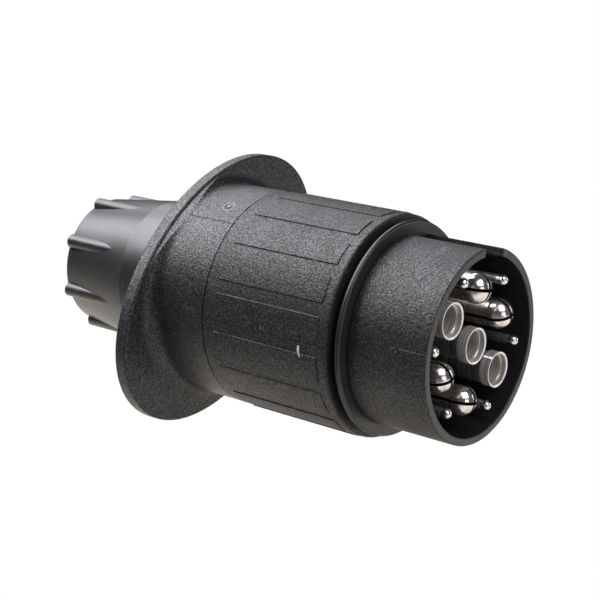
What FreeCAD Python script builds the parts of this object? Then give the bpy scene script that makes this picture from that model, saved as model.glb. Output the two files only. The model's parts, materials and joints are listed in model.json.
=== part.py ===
import FreeCAD, Part
import Sketcher
import math
import os
import re

# Round trailer wiring plug.  The X axis is the plug's axis and +X is the mating
# direction.  The origin is the centre of the barrel's rim, and +Z runs up through
# the key slot.  Angles round the axis are measured from +Z towards +Y.

# Each driving size is a number of millimetres or degrees.
DRIVING = (
    ("barrel_radius", 19.0),
    ("barrel_wall", 1.6),
    ("barrel_depth", 17.6),
    ("rim_round", 0.3),
    ("key_width", 6.5),
    ("seal_thick", 1.2),
    ("seal_height", 2.4),
    ("seal_seat", 0.8),
    ("seal_round", 0.55),
    ("seat_gap", 0.25),
    ("seal_gap", 1.3),
    ("lip_thick", 2.5),
    ("turn_gap", 0.3),
    ("face_gap", 0.15),
    ("shoulder_height", 1.2),
    ("skirt_wall", 1.8),
    ("skirt_reach", 4.5),
    ("stop_ledge", 0.75),
    ("carrier_flange", 3.5),
    ("carrier_lead", 0.6),
    ("retainer_thick", 3.0),
    ("fit_gap", 0.1),
    ("gasket_thick", 0.9),
    ("lug_width", 4.0),
    ("lug_height", 1.0),
    ("lug_length", 3.0),
    ("grip_tail", 2.75),
    ("grip_wall", 3.2),
    ("grip_round", 0.4),
    ("pad_height", 0.2),
    ("pad_round", 0.17),
    ("pad_angle", 13.5),
    ("pad_count", 18.0),
    ("pad_phase", 91.0),
    ("pad_front_margin", 2.1),
    ("pad_back_margin", 2.8),
    ("pitch", 3.0),
    ("ridge_height", 0.7),
    ("ridge_base", 1.5),
    ("ridge_crest", 0.8),
    ("ridge_sink", 0.15),
    ("union_turns", 3.0),
    ("seam_gap", 0.3),
    ("collar_step", 0.05),
    ("collar_length", 13.75),
    ("shell_wall", 5.15),
    ("flange_reach", 10.5),
    ("flange_side", 0.52),
    ("flange_thick", 3.0),
    ("flange_angle", 45.2),
    ("flange_round", 0.45),
    ("flare_radius", 3.0),
    ("dimple_radius", 3.0),
    ("dimple_depth", 0.2),
    ("gate_radius", 0.3),
    ("gate_angle", 33.0),
    ("gate_station", 4.4),
    ("end_wall", 4.0),
    ("throat_radius", 8.5),
    ("tail_radius", 13.2),
    ("thread_runout", 2.0),
    ("tail_nose_step", 0.7),
    ("tail_nose_length", 3.0),
    ("tail_wall", 2.6),
    ("gland_depth", 6.0),
    ("cable_radius", 5.5),
    ("grommet_length", 11.0),
    ("grommet_taper", 3.5),
    ("grommet_nose_step", 2.1),
    ("washer_thick", 1.5),
    ("washer_bore", 7.6),
    ("cap_gap", 2.15),
    ("cap_skirt", 10.0),
    ("cap_cone", 18.6),
    ("cap_wall", 2.8),
    ("cap_cone_drop", 2.3),
    ("cap_turns", 3.0),
    ("cap_end_wall", 3.2),
    ("cap_mouth_edge", 2.3),
    ("cap_round", 0.6),
    ("rib_radius", 1.5),
    ("rib_drop", 0.6),
    ("rib_count", 8.0),
    ("rib_phase", 19.5),
    ("rib_back_margin", 0.7),
    ("contact_circle", 10.8),
    ("signal_circle", 14.2),
    ("screw_circle", 15.8),
    ("pin_radius", 2.78),
    ("pin_swell", 0.2),
    ("pin_slot", 0.55),
    ("pin_slot_depth", 11.0),
    ("head_radius", 3.53),
    ("head_length", 2.1),
    ("head_setback", 1.35),
    ("head_lip", 0.13),
    ("lip_depth", 0.12),
    ("mouth_radius", 3.15),
    ("mouth_depth", 1.2),
    ("tube_radius", 3.15),
    ("socket_radius", 2.8),
    ("socket_depth", 14.0),
    ("collar_disc_radius", 3.4),
    ("collar_disc_thick", 3.0),
    ("tail_pin_radius", 2.6),
    ("tail_pin_length", 14.0),
    ("wire_radius", 1.6),
    ("wire_depth", 8.0),
    ("terminal_radius", 1.5),
    ("terminal_proud", 1.0),
    ("terminal_slot", 0.5),
    ("terminal_inset", 4.0),
    ("signal_radius", 0.88),
    ("signal_ball", 1.0),
    ("signal_setback", 0.6),
    ("signal_disc_radius", 1.5),
    ("signal_disc_thick", 2.0),
    ("signal_tail_radius", 1.15),
    ("signal_tail_length", 9.0),
    ("crimp_radius", 0.7),
    ("crimp_depth", 5.0),
    ("screw_radius", 1.2),
    ("screw_head_radius", 2.1),
    ("screw_head_thick", 1.2),
    ("screw_length", 8.0),
    ("screw_slot", 0.5),
)

# Stations along X and radii that follow from the driving sizes.
DERIVED = (
    ("rim", "0"),
    ("barrel_bore", "barrel_radius - barrel_wall"),
    ("seal_front", "rim - barrel_depth"),
    ("seat_front", "seal_front + seat_gap"),
    ("seal_back", "seal_front - seal_thick"),
    ("seal_floor", "barrel_radius - seal_seat"),
    ("seal_radius", "barrel_radius + seal_height"),
    ("sleeve_front", "seal_back - seal_gap"),
    ("lip_back", "sleeve_front - lip_thick"),
    ("lip_bore", "barrel_radius + turn_gap"),
    ("shoulder_front", "lip_back - face_gap"),
    ("shoulder_radius", "barrel_radius + shoulder_height"),
    ("skirt_bore", "shoulder_radius - skirt_wall"),
    ("carrier_stop", "shoulder_front - stop_ledge"),
    ("carrier_front", "seal_front + carrier_lead"),
    ("carrier_back", "carrier_stop - carrier_flange"),
    ("disc_front", "carrier_back + collar_disc_thick"),
    ("signal_disc_front", "carrier_back + signal_disc_thick"),
    ("retainer_back", "carrier_back - retainer_thick"),
    ("skirt_back", "retainer_back - skirt_reach"),
    ("lug_front", "skirt_back + lug_length"),
    ("gasket_front", "skirt_back - face_gap"),
    ("spigot_front", "gasket_front - gasket_thick"),
    ("nose_front", "retainer_back - face_gap"),
    ("nose_radius", "skirt_bore - face_gap"),
    ("lug_radius", "nose_radius + lug_height"),
    ("sleeve_bore", "shoulder_radius + turn_gap"),
    ("union_crest", "shoulder_radius + ridge_height"),
    ("union_bore", "union_crest + turn_gap"),
    ("union_front", "spigot_front - pitch"),
    ("nut_thread_front", "union_front + pitch / 2"),
    ("union_travel", "union_turns * pitch"),
    ("union_relief", "nut_thread_front + pitch / 2"),
    ("sleeve_back", "nut_thread_front - union_travel - pitch / 2 - grip_tail"),
    ("pad_front", "sleeve_front - pad_front_margin"),
    ("pad_back", "sleeve_back + pad_back_margin"),
    ("grip_radius", "barrel_radius + grip_wall"),
    ("pad_radius", "grip_radius + pad_height"),
    ("collar_radius", "grip_radius - collar_step"),
    ("shell_bore", "collar_radius - shell_wall"),
    ("flange_major", "collar_radius + flange_reach"),
    ("flange_minor", "collar_radius + flange_side"),
    ("collar_front", "sleeve_back - seam_gap"),
    ("gate_front", "collar_front - gate_station"),
    ("flange_front", "collar_front - collar_length"),
    ("flange_back", "flange_front - flange_thick"),
    ("throat_front", "flange_back + end_wall"),
    ("tail_front", "tail_thread_front - cap_travel - thread_runout"),
    ("tail_back", "tail_front - tail_nose_length"),
    ("gland_seat", "tail_back + gland_depth"),
    ("tail_nose_radius", "tail_radius - tail_nose_step"),
    ("tail_bore", "tail_radius - tail_wall"),
    ("grommet_nose", "tail_bore - grommet_nose_step"),
    ("tail_crest", "tail_radius + ridge_height"),
    ("tail_thread_front", "cap_front - pitch / 2"),
    ("cap_thread_front", "cap_front - pitch"),
    ("cap_travel", "cap_turns * pitch"),
    ("cap_bore", "tail_crest + turn_gap"),
    ("cap_front", "flange_back - cap_gap"),
    ("cone_front", "cap_front - cap_skirt"),
    ("cap_back", "cone_front - cap_cone"),
    ("cap_radius", "tail_radius + cap_wall"),
    ("cap_back_radius", "cap_radius - cap_cone_drop"),
    ("cap_mouth", "cap_back_radius - cap_mouth_edge"),
    ("rib_crest", "cap_radius - rib_drop"),
    ("grommet_back", "gland_seat - grommet_length"),
    ("washer_front", "grommet_back - face_gap"),
    ("washer_back", "washer_front - washer_thick"),
    ("cap_seat", "washer_back - face_gap"),
    ("cap_seat_radius", "tail_nose_radius + turn_gap"),
    ("washer_radius", "cap_seat_radius - turn_gap"),
    ("cap_hole_back", "cap_seat - cap_end_wall"),
    ("cap_thread_end", "cap_thread_front - cap_travel - pitch / 2"),
    ("contact_back", "carrier_back - tail_pin_length"),
    ("signal_back", "carrier_back - signal_tail_length"),
    ("terminal_station", "contact_back + terminal_inset"),
    ("pin_bulge", "pin_radius + pin_swell"),
    ("head_front", "rim - head_setback"),
    ("head_back", "head_front - head_length"),
)

ALIASES = {alias for alias, _ in DRIVING + DERIVED}

# Places of the seven power contacts: distance from the axis in circles, and angle.
SPLIT_PIN_ANGLES = (0, 60, 180, 240)
SLOT_TURNS = (0, 21, 0, 21)
SLEEVE_PLACES = (("0", 0), ("contact_circle", -60), ("contact_circle", 120))
SIGNAL_ANGLES = (30, 90, 150, 210, 270, 330)
SCREW_ANGLES = (0, 120, 240)

ALONG_X = FreeCAD.Rotation(FreeCAD.Vector(0, 1, 0), 90)

doc = FreeCAD.newDocument("TrailerPlug")
sheet = doc.addObject("Spreadsheet::Sheet", "Sizes")


def fill_sheet():
    """Write every size into the sheet, the derived ones as formulas."""
    rows = [(alias, str(value)) for alias, value in DRIVING]
    rows += [(alias, "=" + formula) for alias, formula in DERIVED]
    for row, (alias, _) in enumerate(rows, start=1):
        sheet.set(f"A{row}", alias)
        sheet.setAlias(f"B{row}", alias)
    for row, (_, text) in enumerate(rows, start=1):
        sheet.set(f"B{row}", text)
    doc.recompute()


def size(alias):
    """The number that a cell of the sheet holds."""
    return float(sheet.get(alias))


def from_sheet(formula):
    """A formula with the sheet's name put before each of its aliases."""
    return re.sub(r"[a-z_]+", lambda word: ("Sizes." if word[0] in ALIASES else "") + word[0], formula)


def bind(thing, prop, formula):
    thing.setExpression(prop, from_sheet(formula))


# ---------------------------------------------------------------- sketches and features

def new_body(label):
    body = doc.addObject("PartDesign::Body", label)
    body.Label = label
    return body


def new_sketch(body, label, role, station="0"):
    """A sketch on one of the body's origin planes, moved along its normal."""
    sketch = body.newObject("Sketcher::SketchObject", label)
    plane = next(item for item in body.Origin.OriginFeatures if item.Role == role)
    sketch.AttachmentSupport = (plane, [""])
    sketch.MapMode = "FlatFace"
    bind(sketch, "AttachmentOffset.Base.z", station)
    return sketch


def draw_outline(sketch, corners):
    """A closed outline of straight edges whose corners are pairs of formulas."""
    count = len(corners)
    turns = [2 * math.pi * index / count for index in range(count)]
    starts = [FreeCAD.Vector(math.cos(turn), math.sin(turn), 0) for turn in turns]
    for index in range(count):
        sketch.addGeometry(Part.LineSegment(starts[index], starts[(index + 1) % count]), False)
    for index in range(count):
        sketch.addConstraint(Sketcher.Constraint("Coincident", index, 2, (index + 1) % count, 1))
    for index, (across, up) in enumerate(corners):
        place = (("DistanceX", starts[index].x, across), ("DistanceY", starts[index].y, up))
        for kind, value, formula in place:
            row = sketch.addConstraint(Sketcher.Constraint(kind, index, 1, value))
            bind(sketch, f"Constraints[{row}]", formula)


def draw_circle(sketch, radius, circle, angle):
    """A circle centred on a pitch circle, at an angle from +Z towards +Y."""
    normal = FreeCAD.Vector(0, 0, 1)
    index = sketch.addGeometry(Part.Circle(FreeCAD.Vector(1, 1, 0), normal, 1), False)
    centre = (("DistanceX", f"{circle} * sin({angle})"), ("DistanceY", f"{circle} * cos({angle})"))
    for kind, formula in centre:
        row = sketch.addConstraint(Sketcher.Constraint(kind, index, 3, 1.0))
        bind(sketch, f"Constraints[{row}]", formula)
    row = sketch.addConstraint(Sketcher.Constraint("Radius", index, 1.0))
    bind(sketch, f"Constraints[{row}]", radius)


def turn_outline(body, label, corners, kind="PartDesign::Revolution"):
    """Turn a closed outline of (x, radius) corners about the X axis."""
    sketch = new_sketch(body, label + "_outline", "XY_Plane")
    draw_outline(sketch, corners)
    turned = body.newObject(kind, label)
    turned.Profile = sketch
    turned.ReferenceAxis = (sketch, ["H_Axis"])
    turned.Angle = 360
    doc.recompute()
    return turned


def drill(body, label, front, depth, circles):
    """Cut round holes from a station towards the rear."""
    sketch = new_sketch(body, label + "_circles", "YZ_Plane", front)
    for radius, circle, angle in circles:
        draw_circle(sketch, radius, circle, angle)
    pocket = body.newObject("PartDesign::Pocket", label)
    pocket.Profile = sketch
    bind(pocket, "Length", depth)
    doc.recompute()
    return pocket


def polar(body, label, feature, count):
    """Repeat a feature evenly round the X axis."""
    axis = next(item for item in body.Origin.OriginFeatures if item.Role == "X_Axis")
    pattern = body.newObject("PartDesign::PolarPattern", label)
    pattern.Originals = [feature]
    pattern.Axis = (axis, [""])
    pattern.Angle = 360
    bind(pattern, "Occurrences", count)
    body.Tip = pattern
    doc.recompute()
    return pattern


def helical_ridge(body, label, front, length, root, crest):
    """A right-handed thread ridge that starts at a station and runs to the rear."""
    sketch = new_sketch(body, label + "_section", "XY_Plane")
    corners = (
        (f"{front} + ridge_base / 2", root),
        (f"{front} + ridge_crest / 2", crest),
        (f"{front} - ridge_crest / 2", crest),
        (f"{front} - ridge_base / 2", root),
    )
    draw_outline(sketch, corners)
    doc.recompute()
    ridge = body.newObject("PartDesign::AdditiveHelix", label)
    ridge.Profile = sketch
    ridge.ReferenceAxis = (sketch, ["H_Axis"])
    ridge.Mode = "pitch-height-angle"
    bind(ridge, "Pitch", "pitch")
    bind(ridge, "Height", length)
    ridge.Reversed = True
    ridge.LeftHanded = False
    doc.recompute()
    return ridge


def round_edges(body, label, wanted, radius):
    """Round the edges of a body that a test picks out."""
    names = [f"Edge{index}" for index, edge in enumerate(body.Shape.Edges, start=1) if wanted(edge)]
    base = body.Tip
    fillet = body.newObject("PartDesign::Fillet", label)
    fillet.Base = (base, names)
    bind(fillet, "Radius", radius)
    body.Tip = fillet
    doc.recompute()


def round_rings(body, label, rings, radius):
    """Round the circular edges that lie at the given (station, radius) pairs."""
    places = [(size(station), size(ring)) for station, ring in rings]

    def on_a_ring(edge):
        if not isinstance(edge.Curve, Part.Circle):
            return False
        found = (edge.Curve.Center.x, edge.Curve.Radius)
        return any(math.dist(found, place) < 1e-4 for place in places)

    round_edges(body, label, on_a_ring, radius)


def round_outer_edges(body, label, crest, radius):
    """Round the edges whose two ends both lie at a distance from the X axis."""
    reach = size(crest)

    def on_the_crest(edge):
        return all(abs(math.hypot(end.Y, end.Z) - reach) < 1e-4 for end in edge.Vertexes)

    round_edges(body, label, on_the_crest, radius)


# ---------------------------------------------------------------- solids and booleans

def rod(label, radius, front, back):
    """A cylinder on the X axis between two stations."""
    cylinder = doc.addObject("Part::Cylinder", label)
    bind(cylinder, "Radius", radius)
    bind(cylinder, "Height", f"({front}) - ({back})")
    cylinder.Placement = FreeCAD.Placement(FreeCAD.Vector(), ALONG_X)
    bind(cylinder, "Placement.Base.x", back)
    return cylinder


def taper(label, front_radius, back_radius, front, back):
    """A cone on the X axis between two stations."""
    cone = doc.addObject("Part::Cone", label)
    bind(cone, "Radius1", back_radius)
    bind(cone, "Radius2", front_radius)
    bind(cone, "Height", f"({front}) - ({back})")
    cone.Placement = FreeCAD.Placement(FreeCAD.Vector(), ALONG_X)
    bind(cone, "Placement.Base.x", back)
    return cone


def ball(label, radius, centre):
    sphere = doc.addObject("Part::Sphere", label)
    bind(sphere, "Radius", radius)
    bind(sphere, "Placement.Base.x", centre)
    return sphere


def block(label, lengths, corner):
    """A box from the formulas of its three lengths and of its lowest corner."""
    box = doc.addObject("Part::Box", label)
    for prop, formula in zip(("Length", "Width", "Height"), lengths):
        bind(box, prop, formula)
    for axis, formula in zip("xyz", corner):
        bind(box, f"Placement.Base.{axis}", formula)
    return box


def joined(label, pieces):
    fuse = doc.addObject("Part::MultiFuse", label)
    fuse.Shapes = pieces
    fuse.Refine = True
    return fuse


def without(label, base, tool):
    cut = doc.addObject("Part::Cut", label)
    cut.Base = base
    cut.Tool = tool
    cut.Refine = True
    return cut


def shared(label, base, tool):
    common = doc.addObject("Part::Common", label)
    common.Base = base
    common.Tool = tool
    return common


def stand_at(thing, circle, angle, turn=0):
    """Move a piece made on the X axis to its place on a pitch circle."""
    thing.Placement.Rotation = FreeCAD.Rotation(FreeCAD.Vector(1, 0, 0), turn - angle)
    bind(thing, "Placement.Base.y", f"{circle} * sin({angle})")
    bind(thing, "Placement.Base.z", f"{circle} * cos({angle})")
    return thing


# ---------------------------------------------------------------- front module

def make_barrel():
    """Barrel with key slot, seal seat, and the wider skirt that the nut holds."""
    body = new_body("contact_barrel")
    turn_outline(body, "barrel_wall_turned", (
        ("rim", "barrel_bore"),
        ("rim", "barrel_radius"),
        ("seat_front", "barrel_radius"),
        ("seat_front", "seal_floor"),
        ("seal_back", "seal_floor"),
        ("seal_back", "barrel_radius"),
        ("shoulder_front", "barrel_radius"),
        ("shoulder_front", "shoulder_radius"),
        ("skirt_back", "shoulder_radius"),
        ("skirt_back", "skirt_bore"),
        ("carrier_stop", "skirt_bore"),
        ("carrier_stop", "barrel_bore"),
    ))
    round_rings(body, "rim_edges", (("rim", "barrel_radius"), ("rim", "barrel_bore")), "rim_round")
    cut_key_slot(body)
    cut_lug_slots(body)
    return body


def cut_key_slot(body):
    """Slot through the top wall, from the rim to the seal seat."""
    sketch = new_sketch(body, "key_slot_outline", "XY_Plane")
    draw_outline(sketch, (
        ("seal_front", "-key_width / 2"),
        ("1", "-key_width / 2"),
        ("1", "key_width / 2"),
        ("seal_front", "key_width / 2"),
    ))
    pocket = body.newObject("PartDesign::Pocket", "key_slot")
    pocket.Profile = sketch
    pocket.Reversed = True
    bind(pocket, "Length", "barrel_radius + 1")
    doc.recompute()


def cut_lug_slots(body):
    """Two blind slots in the skirt's rear edge, top and bottom."""
    sketch = new_sketch(body, "lug_slot_outline", "XY_Plane")
    half = "(lug_width / 2 + turn_gap)"
    draw_outline(sketch, (
        ("skirt_back - 1", f"-{half}"),
        ("lug_front + turn_gap", f"-{half}"),
        ("lug_front + turn_gap", half),
        ("skirt_back - 1", half),
    ))
    pocket = body.newObject("PartDesign::Pocket", "lug_slots")
    pocket.Profile = sketch
    pocket.Midplane = True
    bind(pocket, "Length", "2 * (lug_radius + turn_gap)")
    doc.recompute()


def make_carrier():
    """Insulating disc that carries the contacts, with a hole and a seat for each."""
    body = new_body("contact_carrier")
    turn_outline(body, "carrier_turned", (
        ("carrier_front", "0"),
        ("carrier_front", "barrel_bore - fit_gap"),
        ("carrier_stop", "barrel_bore - fit_gap"),
        ("carrier_stop", "skirt_bore - fit_gap"),
        ("carrier_back", "skirt_bore - fit_gap"),
        ("carrier_back", "0"),
    ))
    through = "carrier_front - carrier_back + 1"
    pins = [("pin_radius + fit_gap", "contact_circle", angle) for angle in SPLIT_PIN_ANGLES]
    tubes = [("tube_radius + fit_gap", circle, angle) for circle, angle in SLEEVE_PLACES]
    signals = [("signal_radius + fit_gap", "signal_circle", angle) for angle in SIGNAL_ANGLES]
    drill(body, "contact_holes", "carrier_front", through, pins + tubes + signals)
    seats = [("collar_disc_radius + fit_gap", "contact_circle", angle) for angle in SPLIT_PIN_ANGLES]
    seats += [("collar_disc_radius + fit_gap", circle, angle) for circle, angle in SLEEVE_PLACES]
    drill(body, "contact_seats", "disc_front", "collar_disc_thick + 1", seats)
    signal_seats = [("signal_disc_radius + fit_gap", "signal_circle", angle) for angle in SIGNAL_ANGLES]
    drill(body, "signal_seats", "signal_disc_front", "signal_disc_thick + 1", signal_seats)
    screws = [("screw_radius", "screw_circle", angle) for angle in SCREW_ANGLES]
    drill(body, "screw_holes", "retainer_back + screw_length", "screw_length", screws)
    return body


def make_retainer():
    """Plate behind the carrier that keeps the contacts in their seats."""
    body = new_body("carrier_retainer")
    turn_outline(body, "retainer_turned", (
        ("carrier_back", "0"),
        ("carrier_back", "skirt_bore - fit_gap"),
        ("retainer_back", "skirt_bore - fit_gap"),
        ("retainer_back", "0"),
    ))
    tails = [("tail_pin_radius + fit_gap", "contact_circle", angle) for angle in SPLIT_PIN_ANGLES]
    tails += [("tail_pin_radius + fit_gap", circle, angle) for circle, angle in SLEEVE_PLACES]
    tails += [("signal_tail_radius + fit_gap", "signal_circle", angle) for angle in SIGNAL_ANGLES]
    tails += [("screw_radius + fit_gap", "screw_circle", angle) for angle in SCREW_ANGLES]
    drill(body, "tail_holes", "carrier_back", "retainer_thick + 1", tails)
    heads = [("screw_head_radius + fit_gap", "screw_circle", angle) for angle in SCREW_ANGLES]
    drill(body, "head_seats", "retainer_back + screw_head_thick", "screw_head_thick + 1", heads)
    return body


def contact_tail(name):
    """Disc that sits in the carrier, and the rear tail that takes the wire."""
    disc = rod(name + "_disc", "collar_disc_radius", "disc_front", "carrier_back")
    tail = rod(name + "_tail", "tail_pin_radius", "carrier_back", "contact_back")
    return [disc, tail]


def contact_cuts(name):
    """Wire hole in the tail's end and the cross hole of its clamping screw."""
    wire = rod(name + "_wire_hole", "wire_radius", "contact_back + wire_depth", "contact_back")
    cross = doc.addObject("Part::Cylinder", name + "_screw_hole")
    bind(cross, "Radius", "terminal_radius")
    bind(cross, "Height", "tail_pin_radius + 1")
    bind(cross, "Placement.Base.x", "terminal_station")
    return [wire, cross]


def make_split_pin(number, angle, turn):
    """Pin with a bulged nose, split crosswise so that it springs in its socket."""
    name = f"split_pin_{number}"
    nose = ball(name + "_nose", "pin_bulge", "-pin_bulge")
    shaft = rod(name + "_shaft", "pin_radius", "-pin_bulge", "disc_front")
    solid = joined(name + "_solid", [nose, shaft] + contact_tail(name))
    slots = []
    for index in range(2):
        lean = 90 * index + turn + angle
        slot = block(f"{name}_slot_{index + 1}",
                     ("pin_slot_depth + 1", "2 * pin_bulge + 2", "pin_slot"),
                     ("-pin_slot_depth", "0", "0"))
        slot.Placement.Rotation = FreeCAD.Rotation(FreeCAD.Vector(1, 0, 0), lean)
        bind(slot, "Placement.Base.y", f"pin_slot / 2 * sin({lean}) - (pin_bulge + 1) * cos({lean})")
        bind(slot, "Placement.Base.z", f"-pin_slot / 2 * cos({lean}) - (pin_bulge + 1) * sin({lean})")
        slots.append(slot)
    cuts = joined(name + "_cuts", slots + contact_cuts(name))
    return stand_at(without(name, solid, cuts), "contact_circle", angle)


def make_sleeve(number, circle, angle):
    """Tubular contact with a wider head, a thin lip and a bore that narrows behind it."""
    name = f"sleeve_contact_{number}"
    head = rod(name + "_head", "head_radius", "head_front", "head_back")
    tube = rod(name + "_tube", "tube_radius", "head_back", "disc_front")
    solid = joined(name + "_solid", [head, tube] + contact_tail(name))
    bore = rod(name + "_bore", "socket_radius", "head_front + 1", "head_front - socket_depth")
    mouth = rod(name + "_mouth", "mouth_radius", "head_front + 1", "head_front - mouth_depth")
    lip = taper(name + "_lip", "head_radius - head_lip", "mouth_radius", "head_front", "head_front - lip_depth")
    cuts = joined(name + "_cuts", [bore, mouth, lip] + contact_cuts(name))
    return stand_at(without(name, solid, cuts), circle, angle)


def make_signal_pin(number, angle):
    """Thin pin with a ball nose and a crimp tail."""
    name = f"signal_pin_{number}"
    nose = ball(name + "_nose", "signal_ball", "-signal_setback - signal_ball")
    shaft = rod(name + "_shaft", "signal_radius", "-signal_setback - signal_ball", "signal_disc_front")
    disc = rod(name + "_disc", "signal_disc_radius", "signal_disc_front", "carrier_back")
    tail = rod(name + "_tail", "signal_tail_radius", "carrier_back", "signal_back")
    solid = joined(name + "_solid", [nose, shaft, disc, tail])
    crimp = rod(name + "_crimp", "crimp_radius", "signal_back + crimp_depth", "signal_back")
    return stand_at(without(name, solid, crimp), "signal_circle", angle)


def make_terminal_screws():
    """Clamping screws of the seven power contacts, pointing away from the axis."""
    places = [("contact_circle", angle) for angle in SPLIT_PIN_ANGLES] + list(SLEEVE_PLACES)
    screws = []
    for index, (circle, angle) in enumerate(places, start=1):
        name = f"terminal_screw_{index}"
        shank = doc.addObject("Part::Cylinder", name + "_shank")
        bind(shank, "Radius", "terminal_radius")
        bind(shank, "Height", "tail_pin_radius + terminal_proud - wire_radius / 2")
        bind(shank, "Placement.Base.x", "terminal_station")
        bind(shank, "Placement.Base.z", "wire_radius / 2")
        slot = block(name + "_slot",
                     ("2 * terminal_radius + 2", "terminal_slot", "terminal_slot + 1"),
                     ("terminal_station - terminal_radius - 1", "-terminal_slot / 2",
                      "tail_pin_radius + terminal_proud - terminal_slot"))
        screws.append(stand_at(without(name, shank, slot), circle, angle))
    group = doc.addObject("Part::Compound", "terminal_screws")
    group.Links = screws
    return group


def make_carrier_screws():
    """Cheese-head screws that hold the retainer on the carrier."""
    screws = []
    for index, angle in enumerate(SCREW_ANGLES, start=1):
        name = f"carrier_screw_{index}"
        head = rod(name + "_head", "screw_head_radius", "retainer_back + screw_head_thick", "retainer_back")
        shank = rod(name + "_shank", "screw_radius", "retainer_back + screw_length",
                    "retainer_back + screw_head_thick")
        solid = joined(name + "_solid", [head, shank])
        slot = block(name + "_slot",
                     ("screw_slot + 1", "2 * screw_head_radius + 1", "screw_slot"),
                     ("retainer_back - 1", "-screw_head_radius - 0.5", "-screw_slot / 2"))
        screws.append(stand_at(without(name, solid, slot), "screw_circle", angle))
    group = doc.addObject("Part::Compound", "carrier_screws")
    group.Links = screws
    return group


def make_face_seal():
    """Rubber ring that closes against the socket's face."""
    body = new_body("face_seal")
    turn_outline(body, "seal_turned", (
        ("seal_front", "seal_floor"),
        ("seal_front", "seal_radius"),
        ("seal_back", "seal_radius"),
        ("seal_back", "seal_floor"),
    ))
    crests = (("seal_front", "seal_radius"), ("seal_back", "seal_radius"))
    round_rings(body, "seal_crest", crests, "seal_round")
    return body


# ---------------------------------------------------------------- union nut

def make_grip_sleeve():
    """Padded grip that turns on the skirt and draws the rear shell forward."""
    body = new_body("grip_sleeve")
    turn_outline(body, "grip_turned", (
        ("sleeve_front", "lip_bore"),
        ("sleeve_front", "grip_radius"),
        ("sleeve_back", "grip_radius"),
        ("sleeve_back", "union_bore"),
        ("union_relief", "union_bore"),
        ("union_relief", "sleeve_bore"),
        ("lip_back", "sleeve_bore"),
        ("lip_back", "lip_bore"),
    ))
    round_rings(body, "grip_edges", (("sleeve_front", "grip_radius"),), "grip_round")
    sketch = new_sketch(body, "pad_outline", "XY_Plane")
    sketch.AttachmentOffset = FreeCAD.Placement(FreeCAD.Vector(), FreeCAD.Rotation(FreeCAD.Vector(1, 0, 0), 1))
    bind(sketch, "AttachmentOffset.Rotation.Angle", "90 - pad_phase")
    draw_outline(sketch, (
        ("pad_front", "grip_radius - pad_height / 2"),
        ("pad_front", "pad_radius"),
        ("pad_back", "pad_radius"),
        ("pad_back", "grip_radius - pad_height / 2"),
    ))
    pad = body.newObject("PartDesign::Revolution", "pad")
    pad.Profile = sketch
    pad.ReferenceAxis = (sketch, ["H_Axis"])
    pad.Midplane = True
    bind(pad, "Angle", "pad_angle")
    doc.recompute()
    polar(body, "pads", pad, "pad_count")
    round_outer_edges(body, "pad_edges", "pad_radius", "pad_round")
    helical_ridge(body, "union_nut_thread", "nut_thread_front", "union_travel + pitch / 2",
                  "union_bore + ridge_sink", "sleeve_bore")
    return body


# ---------------------------------------------------------------- rear shell

def ellipse_plate(label, inset, front, back):
    """An upright elliptical plate between two stations, its long axis leaning to +Y."""
    ellipse = doc.addObject("Part::Ellipse", label + "_edge")
    bind(ellipse, "MajorRadius", f"flange_major - {inset}")
    bind(ellipse, "MinorRadius", f"flange_minor - {inset}")
    plate = doc.addObject("Part::Extrusion", label)
    plate.Base = ellipse
    plate.DirMode = "Custom"
    plate.Dir = FreeCAD.Vector(0, 0, 1)
    plate.Solid = True
    bind(plate, "LengthFwd", f"({front}) - ({back})")
    lean = FreeCAD.Rotation(FreeCAD.Vector(1, 0, 0), 90 - size("flange_angle"))
    upright = FreeCAD.Rotation(FreeCAD.Vector(0, 1, 0), FreeCAD.Vector(0, 0, 1), FreeCAD.Vector(1, 0, 0), "XYZ")
    plate.Placement = FreeCAD.Placement(FreeCAD.Vector(), lean * upright)
    bind(plate, "Placement.Base.x", back)
    return plate


def make_flange():
    """Elliptical hand flange with rounded edges and a hollow fillet to the collar."""
    plate = ellipse_plate("flange_plate", "0", "flange_front", "flange_back")
    doc.recompute()
    rounded = doc.addObject("Part::Fillet", "flange_rounded")
    rounded.Base = plate
    radius = size("flange_round")
    edges = [index for index, edge in enumerate(plate.Shape.Edges, start=1)
             if isinstance(edge.Curve, Part.Ellipse)]
    rounded.Edges = [(index, radius, radius) for index in edges]
    disc = rod("flare_disc", "collar_radius + flare_radius", "flange_front + flare_radius", "flange_back + 1")
    ring = doc.addObject("Part::Torus", "flare_ring")
    bind(ring, "Radius1", "collar_radius + flare_radius")
    bind(ring, "Radius2", "flare_radius")
    ring.Placement = FreeCAD.Placement(FreeCAD.Vector(), ALONG_X)
    bind(ring, "Placement.Base.x", "flange_front + flare_radius")
    hollow = without("flare_hollow", disc, ring)
    limit = ellipse_plate("flare_limit", "flange_round", "flange_front + flare_radius", "flange_back + 1")
    return [rounded, shared("flare", hollow, limit)]


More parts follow.
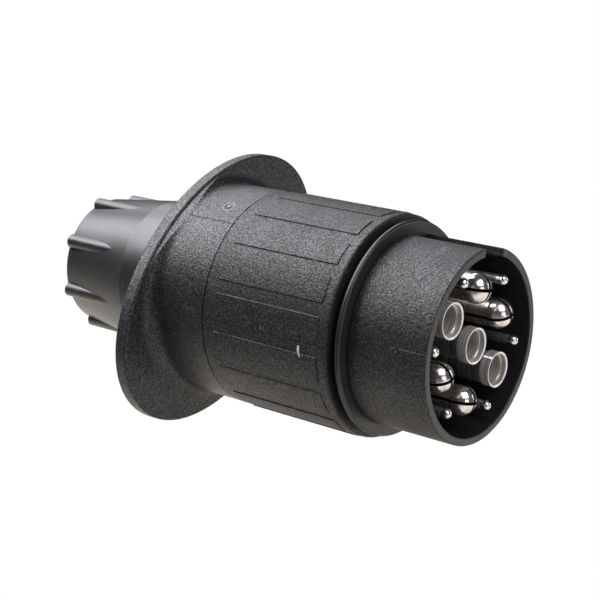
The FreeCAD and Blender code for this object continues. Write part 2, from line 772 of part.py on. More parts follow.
def make_shell_outside():
    """Everything of the rear shell that is round and full, with both threads."""
    body = new_body("rear_shell_outside")
    turn_outline(body, "shell_turned", (
        ("nose_front", "0"),
        ("nose_front", "nose_radius"),
        ("spigot_front", "nose_radius"),
        ("spigot_front", "shoulder_radius"),
        ("collar_front", "shoulder_radius"),
        ("collar_front", "collar_radius"),
        ("flange_back", "collar_radius"),
        ("flange_back", "tail_radius"),
        ("tail_front", "tail_radius"),
        ("tail_front", "tail_nose_radius"),
        ("tail_back", "tail_nose_radius"),
        ("tail_back", "0"),
    ))
    sketch = new_sketch(body, "lug_outline", "XY_Plane")
    draw_outline(sketch, (
        ("spigot_front - 1", "-lug_width / 2"),
        ("lug_front", "-lug_width / 2"),
        ("lug_front", "lug_width / 2"),
        ("spigot_front - 1", "lug_width / 2"),
    ))
    lugs = body.newObject("PartDesign::Pad", "lugs")
    lugs.Profile = sketch
    lugs.Midplane = True
    bind(lugs, "Length", "2 * lug_radius")
    doc.recompute()
    helical_ridge(body, "union_thread", "union_front", "union_travel",
                  "shoulder_radius - ridge_sink", "union_crest")
    helical_ridge(body, "tail_thread", "tail_thread_front", "cap_travel",
                  "tail_radius - ridge_sink", "tail_crest")
    return body


def at_the_gate(thing, reach):
    """Move a piece to its place over the moulding gate on the collar."""
    thing.Placement.Rotation = FreeCAD.Rotation(FreeCAD.Vector(1, 0, 0), size("gate_angle"))
    bind(thing, "Placement.Base.y", f"-({reach}) * sin(gate_angle)")
    bind(thing, "Placement.Base.z", f"({reach}) * cos(gate_angle)")
    return thing


def make_rear_shell():
    """Collar, hand flange and threaded tail in one moulding."""
    inside = new_body("rear_shell_inside")
    turn_outline(inside, "shell_hollow", (
        ("nose_front + 1", "0"),
        ("nose_front + 1", "shell_bore"),
        ("throat_front", "shell_bore"),
        ("throat_front", "throat_radius"),
        ("gland_seat", "throat_radius"),
        ("gland_seat", "tail_bore"),
        ("tail_back - 1", "tail_bore"),
        ("tail_back - 1", "0"),
    ))
    outside = joined("rear_shell_full", [make_shell_outside()] + make_flange())
    dimple = at_the_gate(ball("gate_dimple", "dimple_radius", "gate_front"),
                         "collar_radius + dimple_radius - dimple_depth")
    hollow = without("rear_shell_hollow", without("rear_shell_dimpled", outside, dimple), inside)
    stub = doc.addObject("Part::Cylinder", "gate_stub")
    bind(stub, "Radius", "gate_radius")
    bind(stub, "Height", "2 * dimple_depth")
    bind(stub, "Placement.Base.x", "gate_front")
    return joined("rear_shell", [hollow, at_the_gate(stub, "collar_radius - 2 * dimple_depth")])


def make_shell_gasket():
    """Flat ring between the rear shell and the skirt, notched for the lugs."""
    body = new_body("shell_gasket")
    turn_outline(body, "gasket_turned", (
        ("gasket_front", "nose_radius + fit_gap"),
        ("gasket_front", "shoulder_radius - fit_gap"),
        ("spigot_front", "shoulder_radius - fit_gap"),
        ("spigot_front", "nose_radius + fit_gap"),
    ))
    sketch = new_sketch(body, "gasket_notch_outline", "XY_Plane")
    half = "(lug_width / 2 + fit_gap)"
    draw_outline(sketch, (
        ("spigot_front - 1", f"-{half}"),
        ("gasket_front + 1", f"-{half}"),
        ("gasket_front + 1", half),
        ("spigot_front - 1", half),
    ))
    notches = body.newObject("PartDesign::Pocket", "gasket_notches")
    notches.Profile = sketch
    notches.Midplane = True
    bind(notches, "Length", "2 * (lug_radius + fit_gap)")
    doc.recompute()
    return body


# ---------------------------------------------------------------- cable gland

def make_grommet():
    """Rubber bush that grips the cable inside the tail."""
    body = new_body("cable_grommet")
    turn_outline(body, "grommet_turned", (
        ("gland_seat", "cable_radius"),
        ("gland_seat", "tail_bore - fit_gap"),
        ("grommet_back + grommet_taper", "tail_bore - fit_gap"),
        ("grommet_back", "grommet_nose"),
        ("grommet_back", "cable_radius"),
    ))
    return body


def make_gland_washer():
    """Thrust washer between the grommet and the cap's end wall."""
    body = new_body("gland_washer")
    turn_outline(body, "washer_turned", (
        ("washer_front", "washer_bore"),
        ("washer_front", "washer_radius"),
        ("washer_back", "washer_radius"),
        ("washer_back", "washer_bore"),
    ))
    return body


def make_cap_nut():
    """Ribbed gland nut, conical outside and threaded inside."""
    body = new_body("cap_nut")
    turn_outline(body, "cap_turned", (
        ("cap_front", "0"),
        ("cap_front", "cap_radius"),
        ("cone_front", "cap_radius"),
        ("cap_back", "cap_back_radius"),
        ("cap_back", "0"),
    ))
    round_rings(body, "cap_edge", (("cap_back", "cap_back_radius"),), "cap_round")
    sketch = new_sketch(body, "rib_circle", "YZ_Plane", "cap_back + rib_back_margin")
    draw_circle(sketch, "rib_radius", "(rib_crest - rib_radius)", "rib_phase")
    rib = body.newObject("PartDesign::Pad", "rib")
    rib.Profile = sketch
    bind(rib, "Length", "cap_cone - rib_back_margin")
    doc.recompute()
    polar(body, "ribs", rib, "rib_count")
    turn_outline(body, "cap_hollow", (
        ("cap_front + 1", "0"),
        ("cap_front + 1", "cap_bore"),
        ("cap_thread_end", "cap_bore"),
        ("cap_thread_end", "cap_seat_radius"),
        ("cap_seat", "cap_seat_radius"),
        ("cap_seat", "washer_bore"),
        ("cap_hole_back", "washer_bore"),
        ("cap_back - 1", "cap_mouth"),
        ("cap_back - 1", "0"),
    ), "PartDesign::Groove")
    helical_ridge(body, "cap_thread", "cap_thread_front", "cap_travel",
                  "cap_bore + ridge_sink", "tail_radius + turn_gap")
    return body


# ---------------------------------------------------------------- assembly

def make_nodes():
    nodes = [make_barrel(), make_carrier(), make_retainer()]
    for number, (angle, turn) in enumerate(zip(SPLIT_PIN_ANGLES, SLOT_TURNS), start=1):
        nodes.append(make_split_pin(number, angle, turn))
    for number, (circle, angle) in enumerate(SLEEVE_PLACES, start=1):
        nodes.append(make_sleeve(number, circle, angle))
    for number, angle in enumerate(SIGNAL_ANGLES, start=1):
        nodes.append(make_signal_pin(number, angle))
    nodes += [make_terminal_screws(), make_carrier_screws(), make_face_seal()]
    nodes += [make_grip_sleeve(), make_rear_shell(), make_shell_gasket()]
    nodes += [make_grommet(), make_gland_washer(), make_cap_nut()]
    return nodes


def check_document(nodes):
    """Stop if any object failed, or if a sub-part has no valid shape."""
    failed = [thing.Name for thing in doc.Objects if {"Invalid", "Error"} & set(thing.State)]
    for node in nodes:
        if node.Shape.isNull() or not node.Shape.isValid() or not node.Shape.Solids:
            failed.append(node.Label)
    if failed:
        raise RuntimeError("these objects failed: " + ", ".join(failed))


fill_sheet()
all_nodes = make_nodes()
doc.recompute()
check_document(all_nodes)
os.makedirs("parts", exist_ok=True)
for node in all_nodes:
    node.Shape.exportStep(f"parts/{node.Label}.step")
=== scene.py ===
import json
import math

import bmesh
import bpy
from mathutils import Matrix, Vector


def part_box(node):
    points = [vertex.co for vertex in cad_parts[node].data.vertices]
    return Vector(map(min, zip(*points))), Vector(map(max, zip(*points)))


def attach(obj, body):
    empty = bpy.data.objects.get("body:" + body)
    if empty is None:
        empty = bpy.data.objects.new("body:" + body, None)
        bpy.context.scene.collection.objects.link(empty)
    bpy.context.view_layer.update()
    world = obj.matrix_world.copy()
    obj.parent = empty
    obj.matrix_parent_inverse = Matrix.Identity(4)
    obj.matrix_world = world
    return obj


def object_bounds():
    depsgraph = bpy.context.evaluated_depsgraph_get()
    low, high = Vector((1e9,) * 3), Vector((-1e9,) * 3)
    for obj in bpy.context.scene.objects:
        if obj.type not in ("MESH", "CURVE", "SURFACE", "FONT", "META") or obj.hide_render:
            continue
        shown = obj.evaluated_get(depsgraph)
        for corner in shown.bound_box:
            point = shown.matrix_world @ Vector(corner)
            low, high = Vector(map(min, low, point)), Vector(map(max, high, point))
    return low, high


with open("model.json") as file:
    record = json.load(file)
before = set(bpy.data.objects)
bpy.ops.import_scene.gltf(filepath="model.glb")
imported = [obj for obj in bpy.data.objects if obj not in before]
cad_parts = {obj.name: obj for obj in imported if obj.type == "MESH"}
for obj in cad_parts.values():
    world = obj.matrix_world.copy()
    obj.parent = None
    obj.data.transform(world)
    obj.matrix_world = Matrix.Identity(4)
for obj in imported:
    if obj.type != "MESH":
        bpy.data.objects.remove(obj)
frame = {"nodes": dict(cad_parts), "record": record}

# Round trailer wiring plug, in metres: +X is the mating direction, +Z runs up through
# the key slot.  Angles round the axis are in degrees from +Z towards +Y.

CAD_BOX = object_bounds()
NODES = frame["nodes"]
MM = 0.001


# ------------------------------------------------------------------ sizes from the frame

def node_box(node):
    low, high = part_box(node)
    return Vector(low), Vector(high)


BARREL_HIGH = node_box("contact_barrel")[1]
GRIP_LOW = node_box("grip_sleeve")[0]
MOUNTS = {mount["name"]: mount for mount in frame["record"]["mounts"]}
BARREL_RADIUS = MOUNTS["barrel"]["dims"]["r_mm"] * MM


# ------------------------------------------------------------------ material helpers

class Shader:
    """A node material with its Principled shader and short ways to add nodes."""

    def __init__(self, name):
        self.material = bpy.data.materials.new(name)
        self.material.use_nodes = True
        self.tree = self.material.node_tree
        self.surface = self.tree.nodes["Principled BSDF"]
        self.place = self.tree.nodes.new("ShaderNodeTexCoord").outputs["Object"]

    def node(self, kind, **inputs):
        made = self.tree.nodes.new(kind)
        for key, value in inputs.items():
            self.feed(made, key, value)
        return made

    def feed(self, made, key, value):
        socket = made.inputs[int(key)] if key.isdigit() else made.inputs[key]
        if isinstance(value, bpy.types.NodeSocket):
            self.tree.links.new(value, socket)
        else:
            socket.default_value = value

    def maths(self, operation, first, second=0.0, clamp=False):
        made = self.tree.nodes.new("ShaderNodeMath")
        made.operation = operation
        made.use_clamp = clamp
        self.feed(made, "0", first)
        self.feed(made, "1", second)
        return made.outputs[0]

    def sum_of(self, *terms):
        """The sum of several (value, weight) terms."""
        total = 0.0
        for value, weight in terms:
            total = self.maths("ADD", total, self.maths("MULTIPLY", value, weight))
        return total

    def on_place(self, operation, other):
        """Outputs of a vector operation between the point's place and another vector."""
        made = self.node("ShaderNodeVectorMath")
        made.operation = operation
        self.feed(made, "0", self.place)
        self.feed(made, "1", other)
        return made.outputs

    def axes(self):
        """The point's X, Y and Z."""
        return self.node("ShaderNodeSeparateXYZ", Vector=self.place).outputs

    def spread(self, value, low, high, to_low=0.0, to_high=1.0):
        """Map a value from one range onto another, held at its ends."""
        made = self.tree.nodes.new("ShaderNodeMapRange")
        for key, number in (("Value", value), ("From Min", low), ("From Max", high),
                            ("To Min", to_low), ("To Max", to_high)):
            self.feed(made, key, number)
        return made.outputs[0]

    def noise(self, cell, detail=2.0, rough=0.5, stretch=(1.0, 1.0, 1.0)):
        """Noise whose cells are about as large as the given length in metres."""
        made = self.node("ShaderNodeTexNoise", Vector=self.on_place("MULTIPLY", stretch)["Vector"],
                         Scale=1.0 / cell, Detail=detail, Roughness=rough)
        return made.outputs["Fac"]

    def cells(self, cell, shift):
        """Distance to the nearest of many scattered points, in cells."""
        moved = self.on_place("ADD", (shift, shift, shift))["Vector"]
        return self.node("ShaderNodeTexVoronoi", Vector=moved, Scale=1.0 / cell).outputs["Distance"]

    def blend(self, amount, first, second):
        """The second colour over the first by an amount."""
        made = self.tree.nodes.new("ShaderNodeMix")
        made.data_type = "RGBA"
        self.feed(made, "0", amount)
        self.feed(made, "6", first)
        self.feed(made, "7", second)
        return made.outputs[2]

    def tinted(self, level, tint):
        """A colour made of one level scaled by each part of a tint."""
        red, green, blue = (self.maths("MULTIPLY", level, part) for part in tint)
        return self.node("ShaderNodeCombineColor", Red=red, Green=green, Blue=blue).outputs[0]

    def bump(self, height, depth):
        """Relief whose full height is the given depth in metres."""
        return self.node("ShaderNodeBump", Strength=1.0, Distance=depth, Height=height).outputs["Normal"]

    def from_axis(self, centre=Vector((0, 0, 0))):
        """Sideways and upward distance from an axis along X, in metres."""
        _, side, up = self.axes()
        return self.maths("SUBTRACT", side, centre.y), self.maths("SUBTRACT", up, centre.z)

    def radius(self, centre=Vector((0, 0, 0))):
        """Distance of a point from an axis along X, in metres."""
        side, up = self.from_axis(centre)
        return self.maths("SQRT", self.maths("ADD", self.maths("MULTIPLY", side, side),
                                             self.maths("MULTIPLY", up, up)))

    def set(self, **values):
        for key, value in values.items():
            self.feed(self.surface, key.replace("_", " "), value)


def rgb(level, warm=0.0):
    """A near-neutral colour, a little warmer or colder."""
    return (level * (1 + warm), level, level * (1 - warm), 1.0)


# ------------------------------------------------------------------ materials

SEAM_CORE = 0.07 * MM
SEAM_EDGE = 0.17 * MM


def seam_mask(shader, angle, front, back):
    """One along a hair line that runs lengthwise at an angle, zero elsewhere."""
    along, side, up = shader.axes()
    turn = math.radians(angle)
    off = shader.sum_of((side, math.cos(turn)), (up, -math.sin(turn)))
    facing = shader.sum_of((side, math.sin(turn)), (up, math.cos(turn)))
    line = shader.spread(shader.maths("ABSOLUTE", off), SEAM_CORE, SEAM_EDGE, 1.0, 0.0)
    for inside in (shader.maths("GREATER_THAN", facing, 0.0),
                   shader.maths("LESS_THAN", along, front),
                   shader.maths("GREATER_THAN", along, back)):
        line = shader.maths("MULTIPLY", line, inside)
    return line


def scratches(shader, cell, reach):
    """Thin wandering hair lines that show only in a few patches."""
    wander = shader.noise(cell, 1.0, 0.4)
    off = shader.maths("ABSOLUTE", shader.maths("SUBTRACT", wander, 0.5))
    line = shader.spread(off, 0.004, 0.012, 1.0, 0.0)
    patch = shader.spread(shader.noise(reach, 1.0, 0.5), 0.6, 0.66)
    return shader.maths("MULTIPLY", line, patch)


# Depths behind the barrel's front over which the painted highlight on its front face fades in.
RIM_HIGHLIGHT_BAND = (0.12 * MM, 0.04 * MM)
GATE_RING = 1.25 * MM


def gate_mark(shader, gate):
    """A faint ring round the pale speck of a cut moulding gate."""
    reach = shader.on_place("DISTANCE", gate)["Value"]
    off_ring = shader.maths("ABSOLUTE", shader.maths("SUBTRACT", reach, GATE_RING))
    ring = shader.spread(off_ring, 0.08 * MM, 0.25 * MM, 0.45, 0.0)
    speck = shader.spread(reach, 0.3 * MM, 0.5 * MM, 0.9, 0.0)
    return shader.maths("MAXIMUM", ring, speck)


def grained_plastic(name, seams=(), smooth_inside=None, gloss=0.0, gate=None):
    """Black glass-filled plastic with a spark-eroded grain, dust and hair scratches; with a smooth inside it
    also gets a painted highlight on the front face of the barrel's mouth.
    """
    shader = Shader(name)
    grain = shader.noise(0.30 * MM, 1.0, 0.6)
    coarse = shader.noise(0.75 * MM, 2.0, 0.6)
    drift = shader.noise(8 * MM, 3.0, 0.6)
    dust = shader.spread(shader.cells(4.2 * MM, 0.37), 0.022, 0.036, 1.0, 0.0)
    outside = 1.0
    if smooth_inside is not None:
        outside = shader.spread(shader.radius(), smooth_inside - 0.2 * MM, smooth_inside)
    inside = shader.maths("SUBTRACT", 1.0, outside)
    sparkle = shader.maths("MULTIPLY", shader.spread(grain, 0.42, 0.66), outside)
    hairs = shader.maths("MULTIPLY", scratches(shader, 3.5 * MM, 9 * MM), outside)
    colour = shader.blend(drift, (0.0085, 0.0085, 0.0095, 1), (0.0125, 0.0122, 0.0135, 1))
    colour = shader.blend(shader.maths("MULTIPLY", sparkle, 0.7), colour, (0.032, 0.031, 0.035, 1))
    colour = shader.blend(shader.maths("MULTIPLY", hairs, 0.35), colour, rgb(0.16))
    colour = shader.blend(shader.maths("MULTIPLY", dust, 0.8), colour, rgb(0.4, 0.02))
    if smooth_inside is not None:
        colour = shader.blend(shader.maths("MULTIPLY", inside, 0.8), colour, (0.019, 0.0185, 0.022, 1))
        # Painted highlight: the front face of the barrel's mouth is lightened to stand in for the light it
        # catches.
        painted_rim_highlight = shader.spread(shader.axes()[0], BARREL_HIGH.x - RIM_HIGHLIGHT_BAND[0], BARREL_HIGH.x - RIM_HIGHLIGHT_BAND[1])
        colour = shader.blend(shader.maths("MULTIPLY", painted_rim_highlight, 0.8), colour, rgb(0.075))
    if gate is not None:
        colour = shader.blend(gate_mark(shader, gate), colour, rgb(0.3))
    relief = shader.sum_of((grain, 0.6), (coarse, 0.5))
    for angle, front, back in seams:
        line = seam_mask(shader, angle, front, back)
        colour = shader.blend(shader.maths("MULTIPLY", line, 0.8), colour, rgb(0.004))
        relief = shader.maths("SUBTRACT", relief, line)
    rough = shader.spread(drift, 0.3, 0.7, 0.46 - gloss, 0.54 - gloss)
    rough = shader.maths("SUBTRACT", rough, shader.maths("MULTIPLY", inside, 0.28))
    shine = shader.sum_of((sparkle, 0.75), (0.27 + gloss, 1.0))
    normal = shader.bump(shader.maths("MULTIPLY", relief, outside), 0.13 * MM)
    shader.set(Base_Color=colour, Roughness=rough, Normal=normal, Specular_IOR_Level=shine)
    return shader.material


def satin_plastic(name):
    """Smooth black plastic of the gland nut, faintly rippled and rubbed."""
    shader = Shader(name)
    drift = shader.noise(6 * MM, 3.0, 0.55)
    fine = shader.noise(0.35 * MM, 2.0, 0.6)
    hairs = scratches(shader, 3.0 * MM, 7 * MM)
    dust = shader.spread(shader.cells(5 * MM, 0.21), 0.02, 0.035, 1.0, 0.0)
    colour = shader.blend(drift, (0.019, 0.019, 0.0205, 1), (0.027, 0.0265, 0.028, 1))
    colour = shader.blend(shader.maths("MULTIPLY", hairs, 0.3), colour, rgb(0.2))
    colour = shader.blend(shader.maths("MULTIPLY", dust, 0.7), colour, rgb(0.5))
    rough = shader.sum_of((shader.spread(drift, 0.3, 0.7, 0.3, 0.36), 1.0), (fine, 0.05))
    ripple = shader.sum_of((drift, 0.5), (fine, 0.12))
    shader.set(Base_Color=colour, Roughness=rough, Normal=shader.bump(ripple, 0.1 * MM),
               Specular_IOR_Level=0.75)
    return shader.material


def seal_rubber(name, level):
    """Smooth rubber with faint flow lines and dust."""
    shader = Shader(name)
    drift = shader.noise(4 * MM, 2.0, 0.5)
    dust = shader.spread(shader.cells(3.1 * MM, 0.11), 0.03, 0.05, 1.0, 0.0)
    colour = shader.blend(drift, rgb(level, -0.03), rgb(level * 1.5, -0.03))
    colour = shader.blend(shader.maths("MULTIPLY", dust, 0.7), colour, rgb(0.4))
    rough = shader.spread(drift, 0.3, 0.7, 0.34, 0.44)
    orange_peel = shader.bump(shader.noise(0.5 * MM, 2.0), 0.02 * MM)
    shader.set(Base_Color=colour, Roughness=rough, Normal=orange_peel, Specular_IOR_Level=0.6)
    return shader.material


def moulded_insulator(name, level):
    """Smooth moulded plastic of the insulating pieces."""
    shader = Shader(name)
    drift = shader.noise(3 * MM, 3.0, 0.6)
    colour = shader.blend(drift, rgb(level * 0.8), rgb(level * 1.3))
    rough = shader.spread(drift, 0.3, 0.7, 0.3, 0.42)
    orange_peel = shader.bump(shader.noise(0.4 * MM, 2.0), 0.04 * MM)
    shader.set(Base_Color=colour, Roughness=rough, Normal=orange_peel)
    return shader.material


SLOT_TURNS = (0, 21, 0, 21)
SLOT_WALL = (0.29 * MM, 0.36 * MM)
# The next three give X ranges over which painted shade and dulling fade in towards the roots of the contacts.
PIN_SHAFT = (-5.0 * MM, -3.6 * MM)
SIGNAL_SHAFT = (-3.0 * MM, -2.4 * MM)
HEAD_BACK = (2.4 * MM, 2.1 * MM)
# Depths behind the sleeve's front over which its painted white highlight fades in.
LIP_HIGHLIGHT_BAND = (0.16 * MM, 0.1 * MM)
BORE_EDGE = (2.95 * MM, 3.0 * MM)
TURNED = (1.0, 0.03, 0.03)


def slot_shade_mask(shader, centre, turn):
    """One on the walls of a cross slot whose planes meet on the pin's axis; painted shade goes there."""
    side, up = shader.from_axis(centre)
    sine, cosine = math.sin(math.radians(turn)), math.cos(math.radians(turn))
    first = shader.maths("ABSOLUTE", shader.sum_of((side, -sine), (up, cosine)))
    second = shader.maths("ABSOLUTE", shader.sum_of((side, cosine), (up, sine)))
    return shader.spread(shader.maths("MINIMUM", first, second), *SLOT_WALL, 1.0, 0.0)


def nickel_plate(name, root, root_shade_colour, bands=0.05, band_colour=(0.12, 0.108, 0.10, 1.0)):
    """Nickel-plated brass, turned: fine rings and bright noses; towards the root it turns rougher and less
    metallic, and painted shade darkens its colour there.
    """
    shader = Shader(name)
    rings = shader.noise(0.26 * MM, 2.0, 0.7, TURNED)
    stain = shader.noise(1.5 * MM, 3.0, 0.6)
    deep_shade_and_dull = shader.spread(shader.axes()[0], *root, 1.0, 0.0)
    warm = shader.maths("MULTIPLY", shader.spread(stain, 0.3, 0.7),
                        shader.sum_of((deep_shade_and_dull, 0.5), (0.12, 1.0)), clamp=True)
    colour = shader.blend(warm, (0.86, 0.85, 0.83, 1.0), (0.60, 0.55, 0.48, 1.0))
    # Painted shade: the colour darkens towards the root colour further into the mouth.
    colour = shader.blend(shader.maths("MULTIPLY", deep_shade_and_dull, 0.75), colour, root_shade_colour)
    stripes = shader.maths("MULTIPLY", shader.spread(rings, 0.42, 0.6),
                           shader.sum_of((deep_shade_and_dull, 0.4), (bands, 1.0)))
    colour = shader.blend(stripes, colour, band_colour)
    rough = shader.sum_of((deep_shade_and_dull, 0.26), (stain, 0.1), (0.13, 1.0))
    metal = shader.sum_of((deep_shade_and_dull, -0.35), (0.95, 1.0))
    shader.set(Base_Color=colour, Metallic=metal, Roughness=rough, Normal=shader.bump(rings, 0.02 * MM))
    return shader, colour


def pin_nickel(name, node, turn):
    """Split pin: warm grey shaft, darkened towards the root by painted shade, and its cross slot darkened by
    painted shade.
    """
    low, high = node_box(node)
    shader, colour = nickel_plate(name, PIN_SHAFT, (0.50, 0.465, 0.42, 1.0), 0.1)
    painted_slot_shade = slot_shade_mask(shader, (low + high) / 2, turn)
    outside_slot_shade = shader.maths("SUBTRACT", 1.0, painted_slot_shade)
    # Painted shade: the slot walls are painted near-black and lose their shine and metal.
    shader.set(Base_Color=shader.blend(painted_slot_shade, colour, rgb(0.012, 0.1)),
               Specular_IOR_Level=shader.maths("MULTIPLY", outside_slot_shade, 0.5),
               Metallic=shader.maths("MULTIPLY", outside_slot_shade, 0.93))
    return shader.material


def sleeve_nickel(name, node):
    """Sleeve: painted white highlight on the front edge, ringed warm bore, and painted shade darkening the
    tube behind the head.
    """
    low, high = node_box(node)
    root = [high.x - back for back in HEAD_BACK]
    # Painted shade: the tube behind the head is painted near-black.
    shader, colour = nickel_plate(name, root, (0.05, 0.045, 0.05, 1.0), 0.4, (0.04, 0.036, 0.04, 1.0))
    inside = shader.spread(shader.radius((low + high) / 2), *BORE_EDGE, 1.0, 0.0)
    turned = shader.spread(shader.noise(0.2 * MM, 2.0, 0.7, TURNED), 0.35, 0.65, 0.3, 0.75)
    colour = shader.blend(inside, colour, shader.tinted(turned, (1.0, 0.93, 0.84)))
    # Painted highlight: the front edge is painted white and less metallic to stand in for the light it
    # reflects.
    painted_lip_highlight = shader.spread(shader.axes()[0], *(high.x - back for back in LIP_HIGHLIGHT_BAND))
    metal = shader.maths("SUBTRACT", 0.6, shader.sum_of((painted_lip_highlight, 0.5), (inside, 0.15)), clamp=True)
    shader.set(Base_Color=shader.blend(painted_lip_highlight, colour, rgb(0.92)), Metallic=metal)
    return shader.material


def signal_nickel(name):
    """Small pin: bright ball on a shaft darkened by painted shade."""
    # Painted shade: the shaft is given a near-black root colour.
    return nickel_plate(name, SIGNAL_SHAFT, (0.04, 0.036, 0.034, 1.0))[0].material


def turned_brass(name):
    """Bare brass of the screws, turned and a little stained."""
    shader = Shader(name)
    stain = shader.noise(1.2 * MM, 3.0, 0.6)
    colour = shader.blend(stain, (0.78, 0.60, 0.30, 1.0), (0.62, 0.47, 0.25, 1.0))
    rings = shader.noise(0.1 * MM, 2.0, 0.5)
    shader.set(Base_Color=colour, Metallic=1.0, Roughness=shader.spread(stain, 0.3, 0.7, 0.2, 0.35),
               Normal=shader.bump(rings, 0.01 * MM))
    return shader.material


def pale_burr(name):
    """Mottled pale flash of a plastic chip."""
    shader = Shader(name)
    mottle = shader.noise(0.3 * MM, 2.0)
    rough = shader.spread(mottle, 0.3, 0.7, 0.4, 0.6)
    shader.set(Base_Color=shader.blend(mottle, rgb(0.45), rgb(0.8)), Roughness=rough)
    return shader.material


# Painted patch of light on the floor: its colour is dark at the first Y and bright from the second.
PAINTED_POOL_DARK = -95 * MM
PAINTED_POOL_LIGHT = -15 * MM
FLOOR_TINT = (1.0, 0.96, 0.84)


def studio_floor(name):
    """Pale floor that blows out to white in view; a patch of light painted into its colour, dark towards the
    camera side and bright under the plug, lights the underside.
    """
    shader = Shader(name)
    drift = shader.noise(120 * MM, 2.0)
    # Painted light: the floor's colour brightens from the camera side to under the plug.
    painted_light_pool = shader.spread(shader.axes()[1], PAINTED_POOL_DARK, PAINTED_POOL_LIGHT, 0.07, 0.9)
    level = shader.sum_of((painted_light_pool, 0.96), (drift, 0.06))
    shader.set(Base_Color=shader.tinted(level, FLOOR_TINT), Roughness=0.9, Specular_IOR_Level=0.1)
    tree = shader.tree
    white = shader.node("ShaderNodeEmission", Color=(1, 1, 1, 1), Strength=1.0)
    seen = tree.nodes.new("ShaderNodeLightPath").outputs["Is Camera Ray"]
    mix = tree.nodes.new("ShaderNodeMixShader")
    tree.links.new(seen, mix.inputs[0])
    tree.links.new(shader.surface.outputs[0], mix.inputs[1])
    tree.links.new(white.outputs[0], mix.inputs[2])
    out = next(node for node in tree.nodes if node.type == "OUTPUT_MATERIAL")
    tree.links.new(mix.outputs[0], out.inputs["Surface"])
    return shader.material


GATE_BACK = 4.7 * MM
GATE_OUT = BARREL_RADIUS + 3.0 * MM
GATE_ANGLE = math.radians(33)
COLLAR_SEAM_ANGLE = -44.6
COLLAR_SEAM_LENGTH = 12 * MM
BARREL_SEAM_ANGLE = -89.5
BARREL_SEAM_LENGTH = 8 * MM
SMOOTH_WALL = 1.35 * MM


def dress(node, material):
    thing = NODES[node]
    thing.data.materials.clear()
    thing.data.materials.append(material)


def dress_all():
    collar_seam = (COLLAR_SEAM_ANGLE, GRIP_LOW.x, GRIP_LOW.x - COLLAR_SEAM_LENGTH)
    barrel_seam = (BARREL_SEAM_ANGLE, BARREL_HIGH.x, BARREL_HIGH.x - BARREL_SEAM_LENGTH)
    gate = Vector((GRIP_LOW.x - GATE_BACK, -GATE_OUT * math.sin(GATE_ANGLE), GATE_OUT * math.cos(GATE_ANGLE)))
    insulator = moulded_insulator("carrier_plastic", 0.018)
    signal = signal_nickel("signal_pin_nickel")
    brass = turned_brass("screw_brass")
    dress("contact_barrel", grained_plastic("barrel_plastic", [barrel_seam], BARREL_RADIUS - SMOOTH_WALL))
    dress("grip_sleeve", grained_plastic("grip_plastic"))
    dress("rear_shell", grained_plastic("shell_plastic", [collar_seam], gloss=0.06, gate=gate))
    dress("cap_nut", satin_plastic("cap_plastic"))
    dress("face_seal", seal_rubber("seal_rubber", 0.016))
    dress("shell_gasket", seal_rubber("gasket_rubber", 0.02))
    dress("cable_grommet", seal_rubber("grommet_rubber", 0.03))
    dress("gland_washer", moulded_insulator("washer_plastic", 0.5))
    for node in ("contact_carrier", "carrier_retainer"):
        dress(node, insulator)
    for node in ("terminal_screws", "carrier_screws"):
        dress(node, brass)
    for node in NODES:
        if node.startswith("split_pin"):
            dress(node, pin_nickel(node + "_nickel", node, SLOT_TURNS[int(node[-1]) - 1]))
        elif node.startswith("sleeve_contact"):
            dress(node, sleeve_nickel(node + "_nickel", node))
        elif node.startswith("signal_pin"):
            dress(node, signal)


# ------------------------------------------------------------------ small extra pieces

GRIP_RADIUS = BARREL_RADIUS + 3.2 * MM
BURR_ALONG = (-26.3 * MM, -25.5 * MM)
BURR_ANGLES = (-98.5, -105.5)
BURR_STEPS = 14
BURR_SIDES = 10
BURR_WIDTH = 0.26 * MM
BURR_LIFT = 0.05 * MM
BURR_ARCH = 0.1 * MM


def ring_of(centre, along, out, width, height, sides):
    """Points of a small oval round a centre, in the plane of two directions."""
    points = []
    for side in range(sides):
        turn = 2 * math.pi * side / sides
        points.append(centre + along * width * math.cos(turn) + out * height * math.sin(turn))
    return points


def build_burr():
    """A curled chip of pale flash that stands on the grip."""
    mesh = bmesh.new()
    rings = []
    along = Vector((1, 0, 0))
    for step in range(BURR_STEPS + 1):
        way = step / BURR_STEPS
        angle = math.radians(BURR_ANGLES[0] + (BURR_ANGLES[1] - BURR_ANGLES[0]) * way)
        out = Vector((0, math.sin(angle), math.cos(angle)))
        x = BURR_ALONG[0] + (BURR_ALONG[1] - BURR_ALONG[0]) * way ** 3
        lift = BURR_LIFT + BURR_ARCH * math.sin(math.pi * way)
        width = BURR_WIDTH * math.sqrt(max(0.02, math.sin(math.pi * (0.12 + 0.86 * way) ** 0.7)))
        centre = Vector((x, 0, 0)) + out * (GRIP_RADIUS + lift)
        points = ring_of(centre, along, out, width, width * 0.6, BURR_SIDES)
        rings.append([mesh.verts.new(point) for point in points])
    for first, second in zip(rings, rings[1:]):
        for side in range(BURR_SIDES):
            after = (side + 1) % BURR_SIDES
            mesh.faces.new((first[side], first[after], second[after], second[side]))
    mesh.faces.new(reversed(rings[0]))
    mesh.faces.new(rings[-1])
    bmesh.ops.recalc_face_normals(mesh, faces=mesh.faces)
    for face in mesh.faces:
        face.smooth = True
    data = bpy.data.meshes.new("grip_burr")
    mesh.to_mesh(data)
    mesh.free()
    data.materials.append(pale_burr("burr_plastic"))
    burr = bpy.data.objects.new("grip_burr", data)
    bpy.context.scene.collection.objects.link(burr)
    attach(burr, "union")


# ------------------------------------------------------------------ studio

COOL_LIGHT = (0.975, 0.955, 1.0)
FLOOR_DROP = 26 * MM
FLOOR_SIZE = 6.0
FLOOR_MIDDLE = -70 * MM
DIM_WORLD = 0.035

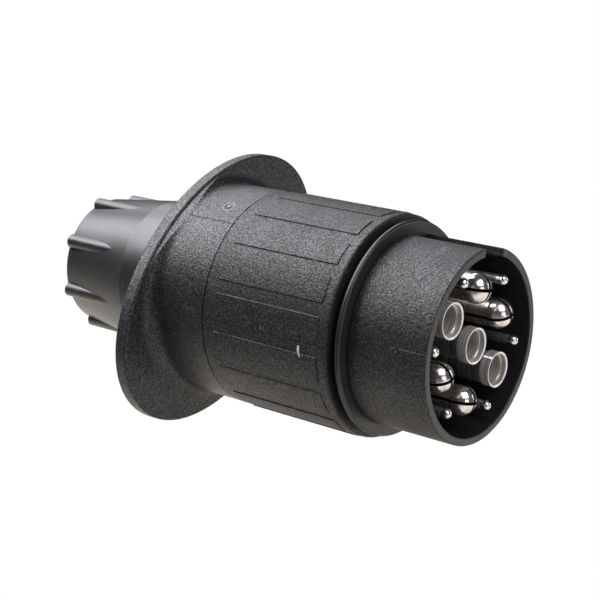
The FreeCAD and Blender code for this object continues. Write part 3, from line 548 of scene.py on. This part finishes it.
# Name, way out from the plug, distance and side in metres, radiance.
SOFTBOXES = (
    ("key_softbox", (-0.6, -0.3, 0.74), 0.7, 0.62, 7.0),
    ("back_softbox", (-0.6, 0.42, 0.68), 0.8, 0.4, 3.0),
    ("mouth_softbox", (0.62, -0.3, 0.72), 0.6, 0.42, 3.2),
    ("side_softbox", (0.6, 0.75, 0.28), 0.7, 0.3, 1.8),
    ("front_fill", (0.93, -0.25, 0.05), 0.7, 0.3, 2.0),
)


def build_floor():
    """A wide plain floor a little below the plug."""
    mesh = bmesh.new()
    bmesh.ops.create_grid(mesh, x_segments=1, y_segments=1, size=FLOOR_SIZE / 2)
    data = bpy.data.meshes.new("studio_floor")
    mesh.to_mesh(data)
    mesh.free()
    floor = bpy.data.objects.new("studio_floor", data)
    bpy.context.scene.collection.objects.link(floor)
    floor.location = (FLOOR_MIDDLE, 0, CAD_BOX[0][2] - FLOOR_DROP)
    data.materials.append(studio_floor("floor_white"))


def build_softbox(name, way, distance, side, radiance):
    """A square area light out along a direction, facing the plug."""
    centre = Vector((CAD_BOX[0][0] / 2, 0, 0))
    data = bpy.data.lights.new(name, "AREA")
    data.shape = "RECTANGLE"
    data.size = side
    data.size_y = side
    data.energy = radiance * math.pi * side * side
    data.color = COOL_LIGHT
    lamp = bpy.data.objects.new(name, data)
    bpy.context.scene.collection.objects.link(lamp)
    lamp.location = centre + Vector(way).normalized() * distance
    lamp.rotation_euler = (centre - lamp.location).to_track_quat("-Z", "Y").to_euler()
    lamp.visible_camera = False


def build_lights():
    for softbox in SOFTBOXES:
        build_softbox(*softbox)


def build_world():
    """White behind the object, dim all round it."""
    world = bpy.data.worlds.new("studio_world")
    world.use_nodes = True
    tree = world.node_tree
    background = tree.nodes["Background"]
    background.inputs["Color"].default_value = (1.0, 1.0, 1.0, 1.0)
    rays = tree.nodes.new("ShaderNodeLightPath")
    strength = tree.nodes.new("ShaderNodeMapRange")
    tree.links.new(rays.outputs["Is Camera Ray"], strength.inputs["Value"])
    strength.inputs["To Min"].default_value = DIM_WORLD
    strength.inputs["To Max"].default_value = 1.0
    tree.links.new(strength.outputs[0], background.inputs["Strength"])
    bpy.context.scene.world = world


# ------------------------------------------------------------------ camera

CAMERA_PLACE = Vector((142.4, -246.1, 49.6)) * MM
CAMERA_RIGHT = Vector((0.781, 0.614, 0.112)).normalized()
CAMERA_BACK = Vector((0.596, -0.788, 0.156)).normalized()
CAMERA_LENS = 91.9


def build_camera():
    """The studio camera, with its place and turn given."""
    data = bpy.data.cameras.new("studio_camera")
    data.lens = CAMERA_LENS
    data.sensor_width = 36.0
    data.clip_start = 0.01
    data.clip_end = 20.0
    camera = bpy.data.objects.new("studio_camera", data)
    bpy.context.scene.collection.objects.link(camera)
    up = CAMERA_BACK.cross(CAMERA_RIGHT).normalized()
    right = up.cross(CAMERA_BACK)
    turn = Matrix((right, up, CAMERA_BACK)).transposed().to_4x4()
    camera.matrix_world = Matrix.Translation(CAMERA_PLACE) @ turn
    bpy.context.scene.camera = camera


dress_all()
build_burr()
build_floor()
build_world()
build_lights()
build_camera()
bpy.context.scene.view_settings.view_transform = "Standard"
